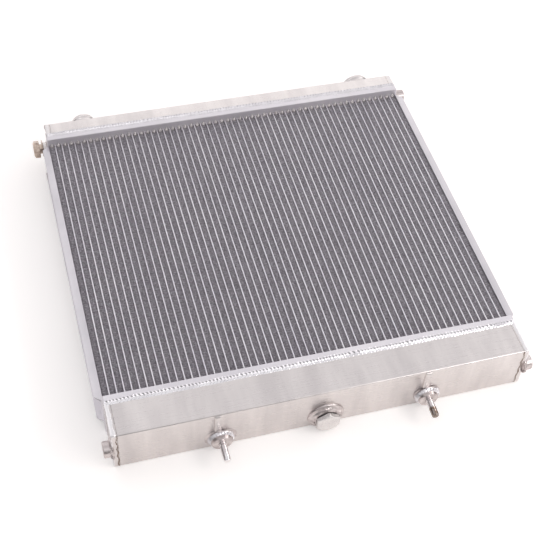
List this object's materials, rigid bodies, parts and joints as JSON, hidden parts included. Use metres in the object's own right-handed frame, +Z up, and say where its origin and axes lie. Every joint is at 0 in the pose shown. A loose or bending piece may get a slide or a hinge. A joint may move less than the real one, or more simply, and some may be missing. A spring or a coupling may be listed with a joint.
{
  "type": "car radiator",
  "caption": "Aluminium car radiator: flat-tube and fin core between two welded tanks, with locating pins, hex drain plug, bleed screw and two hose necks.",
  "frame": {"origin": "middle of the box round the radiator, at the underside that it lies on", "axes": "+X along the tanks to the right, +Y along the tubes from the lower tank to the upper tank, +Z up through the core, from its underside"},
  "size_m": [0.6156, 0.65, 0.0762],
  "materials": {
    "tube_aluminium": "satin, brazed",
    "fin_aluminium": "dull, folded and louvred sheet",
    "sheet_aluminium": "brushed mill sheet",
    "weld_aluminium": "rippled weld bead",
    "machined_aluminium": "turned and satin",
    "plated_steel": "bright zinc plating",
    "brass": "dulled brass",
    "washer_rubber": "matt"
  },
  "bodies": {
    "root": {"core_tubes": "tube_aluminium", "core_fins": "fin_aluminium", "side_plate_left": "sheet_aluminium", "side_plate_right": "sheet_aluminium", "lower_header": "sheet_aluminium", "lower_tank": "sheet_aluminium", "lower_tank_weld": "weld_aluminium", "lower_tank_cap_left": "sheet_aluminium", "lower_tank_cap_right": "sheet_aluminium", "upper_header": "sheet_aluminium", "upper_tank": "sheet_aluminium", "upper_tank_weld": "weld_aluminium", "upper_tank_cap_left": "sheet_aluminium", "upper_tank_cap_right": "sheet_aluminium", "upper_tank_divider": "sheet_aluminium", "pin_boss_left": "weld_aluminium", "pin_boss_right": "weld_aluminium", "pin_rib_left": "machined_aluminium", "pin_rib_right": "machined_aluminium", "locating_pin_left": "plated_steel", "locating_pin_right": "plated_steel", "drain_bung": "weld_aluminium", "lower_boss_left": "machined_aluminium", "lower_boss_right": "machined_aluminium", "sensor_boss": "machined_aluminium", "bleed_boss": "machined_aluminium", "hose_neck_left": "machined_aluminium", "hose_neck_right": "machined_aluminium"},
    "drain_washer": {"drain_washer": "washer_rubber"},
    "drain_plug": {"drain_plug": "machined_aluminium"},
    "bleed_washer": {"bleed_washer": "brass"},
    "bleed_screw": {"bleed_screw": "brass"}
  },
  "joints": [
    {"name": "drain_travel", "type": "slide", "parent": "root", "child": "drain_washer", "axis": [0, -1, 0], "range_m": [0, 0.00751]},
    {"name": "drain_turn", "type": "hinge", "parent": "drain_washer", "child": "drain_plug", "pos_m": [0, -0.29615, 0.0215], "axis": [0, -1, 0], "range_deg": [0, 1800]},
    {"name": "bleed_travel", "type": "slide", "parent": "root", "child": "bleed_washer", "axis": [-1, 0, 0], "range_m": [0, 0.00601]},
    {"name": "bleed_turn", "type": "hinge", "parent": "bleed_washer", "child": "bleed_screw", "pos_m": [-0.2948, 0.27475, 0.0415], "axis": [-1, 0, 0], "range_deg": [0, 1440]}
  ],
  "couplings": [
    {"joint": "drain_travel", "follows": "drain_turn", "m_per_rad": 0.00023873},
    {"joint": "bleed_travel", "follows": "bleed_turn", "m_per_rad": 0.00023873}
  ]
}
